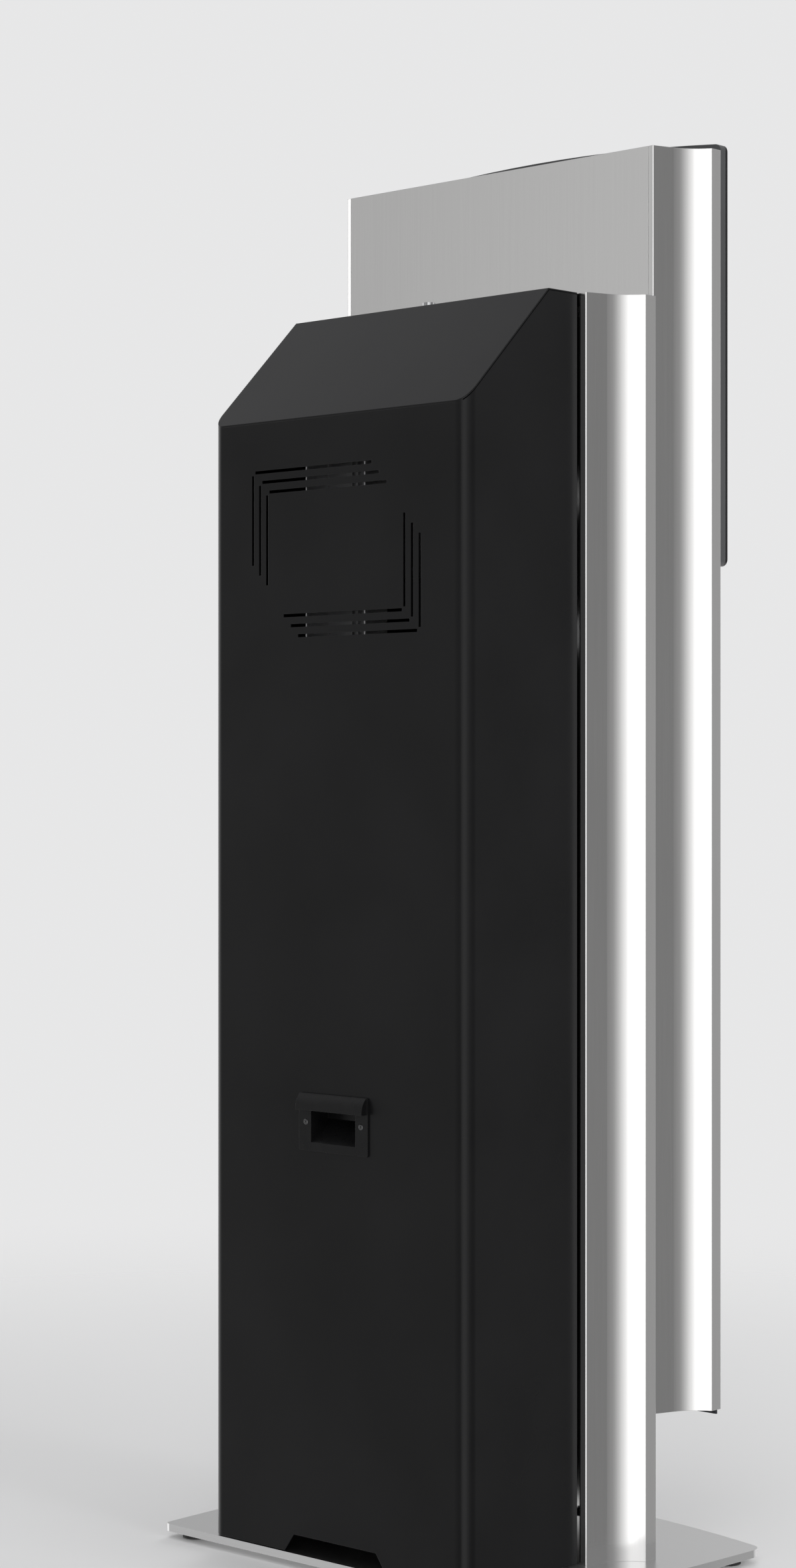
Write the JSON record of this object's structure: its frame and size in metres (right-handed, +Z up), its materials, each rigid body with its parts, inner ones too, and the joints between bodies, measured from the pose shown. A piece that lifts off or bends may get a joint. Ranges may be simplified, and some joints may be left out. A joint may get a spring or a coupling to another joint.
{
  "type": "ticket vending machine",
  "caption": "Free-standing ticket vending kiosk: slim display slab on flared folded-metal tower and column, slanted lockable service door with vents, bowed base plate.",
  "frame": {"origin": "on the floor, under the middle of the outline", "axes": "+Z up; the customer stands at -Y and the service door faces +Y; +X is to the right of someone facing the screen"},
  "size_m": [0.6078, 0.443, 1.649],
  "materials": {
    "anthracite_coat": "fine-textured satin powder coat",
    "satin_steel": "fine satin brushing",
    "base_steel": "fine satin brushing, clear lacquer",
    "front_coat": "satin powder coat",
    "housing_coat": "satin dark coat",
    "black_glass": "polished",
    "screen_module": "matt display module",
    "zinc_steel": "bright zinc plate",
    "plain_steel": "machined",
    "blackened_steel": "satin black",
    "handle_plastic": "fine-grained moulding",
    "screw_steel": "dark zinc plate",
    "lock_chrome": "polished",
    "cam_steel": "zinc plate",
    "seal_foam": "matt foam",
    "fan_plastic": "semi-matt moulding",
    "roller_rubber": "ground rubber",
    "paper": "uncoated paper",
    "unit_plastic": "matt moulding",
    "tray_steel": "brushed stainless",
    "flap_clear": "clear, polished",
    "button_steel": "polished",
    "terminal_plastic": "semi-gloss moulding",
    "computer_case": "anodised fins"
  },
  "bodies": {
    "stand": {"base_plate": "base_steel", "base_screws": "plain_steel", "card_terminal": "terminal_plastic", "coin_acceptor": "unit_plastic", "coin_bezel": "tray_steel", "coin_box": "zinc_steel", "coin_cup": "tray_steel", "coin_duct": "tray_steel", "column_bottom_rail": "zinc_steel", "column_cap": "satin_steel", "column_side_left": "satin_steel", "column_side_right": "satin_steel", "column_top_rail": "zinc_steel", "computer": "computer_case", "cutter": "blackened_steel", "display_glass": "black_glass", "display_housing": "housing_coat", "door_seal": "seal_foam", "hinge_brackets": "zinc_steel", "hinge_pins": "plain_steel", "lock_keeper": "zinc_steel", "mains_inlet": "unit_plastic", "mounting_rails": "zinc_steel", "picture_panel": "screen_module", "power_supply": "zinc_steel", "print_head": "unit_plastic", "printer_frame": "zinc_steel", "printer_motor": "unit_plastic", "roll_axle": "plain_steel", "scanner_body": "unit_plastic", "scanner_window": "black_glass", "ticket_tray": "tray_steel", "tower_back_panel": "satin_steel", "tower_caps": "satin_steel", "tower_front_panel": "front_coat", "tower_side_left": "satin_steel", "tower_side_right": "satin_steel"},
    "rear_door": {"door_shell": "anthracite_coat", "door_lid": "anthracite_coat", "pull_handle": "handle_plastic", "handle_screws": "screw_steel", "door_hinge_ears": "zinc_steel", "lock_body": "lock_chrome", "fan_bracket": "zinc_steel", "fan_frame": "fan_plastic"},
    "door_lock": {"lock_plug": "lock_chrome", "lock_cam": "cam_steel"},
    "fan_wheel": {"fan_rotor": "fan_plastic"},
    "ticket_cover": {"ticket_flap": "flap_clear"},
    "coin_cover": {"coin_flap": "flap_clear"},
    "coin_return": {"coin_button": "button_steel"},
    "help_call": {"help_button": "button_steel"},
    "platen": {"platen_roller": "roller_rubber"},
    "ticket_paper": {"paper_roll": "paper"},
    "print_cover": {"printer_cover": "unit_plastic"},
    "mains_switch": {"switch_rocker": "unit_plastic"},
    "rear_left_foot": {"foot_rear_left": "plain_steel"},
    "rear_right_foot": {"foot_rear_right": "plain_steel"},
    "front_left_foot": {"foot_front_left": "plain_steel"},
    "front_right_foot": {"foot_front_right": "plain_steel"}
  },
  "joints": [
    {"name": "door_hinge", "type": "hinge", "parent": "stand", "child": "rear_door", "pos_m": [-0.1965, 0.032, 0.75], "axis": [0, 0, 1], "range_deg": [0, 90]},
    {"name": "lock_turn", "type": "hinge", "parent": "rear_door", "child": "door_lock", "pos_m": [0, 0.0555, 1.44], "axis": [0, 0, -1], "range_deg": [0, 90]},
    {"name": "fan_spin", "type": "hinge", "parent": "rear_door", "child": "fan_wheel", "pos_m": [0, 0.16, 1.1645], "axis": [0, 1, 0], "continuous": true},
    {"name": "ticket_flap_hinge", "type": "hinge", "parent": "stand", "child": "ticket_cover", "pos_m": [0, -0.12424, 0.791], "axis": [-1, 0, 0], "range_deg": [0, 80]},
    {"name": "coin_flap_hinge", "type": "hinge", "parent": "stand", "child": "coin_cover", "pos_m": [0.12, -0.12424, 0.655], "axis": [1, 0, 0], "range_deg": [0, 42]},
    {"name": "coin_return_push", "type": "slide", "parent": "stand", "child": "coin_return", "axis": [0, 1, 0], "range_m": [0, 0.003], "stiffness_N_per_m": 250, "springref_m": -0.002},
    {"name": "help_button_push", "type": "slide", "parent": "stand", "child": "help_call", "axis": [0, 1, 0], "range_m": [0, 0.0025], "stiffness_N_per_m": 300, "springref_m": -0.002},
    {"name": "platen_spin", "type": "hinge", "parent": "stand", "child": "platen", "pos_m": [0, -0.0785, 0.842], "axis": [1, 0, 0], "continuous": true},
    {"name": "paper_roll_spin", "type": "hinge", "parent": "stand", "child": "ticket_paper", "pos_m": [0, 0.1035, 0.888], "axis": [1, 0, 0], "continuous": true},
    {"name": "printer_cover_hinge", "type": "hinge", "parent": "stand", "child": "print_cover", "pos_m": [0, 0.0035, 0.868], "axis": [-1, 0, 0], "range_deg": [0, 80]},
    {"name": "mains_switch_tilt", "type": "hinge", "parent": "stand", "child": "mains_switch", "pos_m": [-0.062, 0.022, 0.087], "axis": [-1, 0, 0], "range_deg": [0, 14]},
    {"name": "rear_left_foot_turn", "type": "hinge", "parent": "stand", "child": "rear_left_foot", "pos_m": [-0.261, 0.1855, 0.004], "axis": [0, 0, 1], "continuous": true},
    {"name": "front_left_foot_turn", "type": "hinge", "parent": "stand", "child": "front_left_foot", "pos_m": [-0.278, -0.1525, 0.004], "axis": [0, 0, 1], "continuous": true},
    {"name": "rear_right_foot_turn", "type": "hinge", "parent": "stand", "child": "rear_right_foot", "pos_m": [0.261, 0.1855, 0.004], "axis": [0, 0, 1], "continuous": true},
    {"name": "front_right_foot_turn", "type": "hinge", "parent": "stand", "child": "front_right_foot", "pos_m": [0.278, -0.1525, 0.004], "axis": [0, 0, 1], "continuous": true}
  ]
}
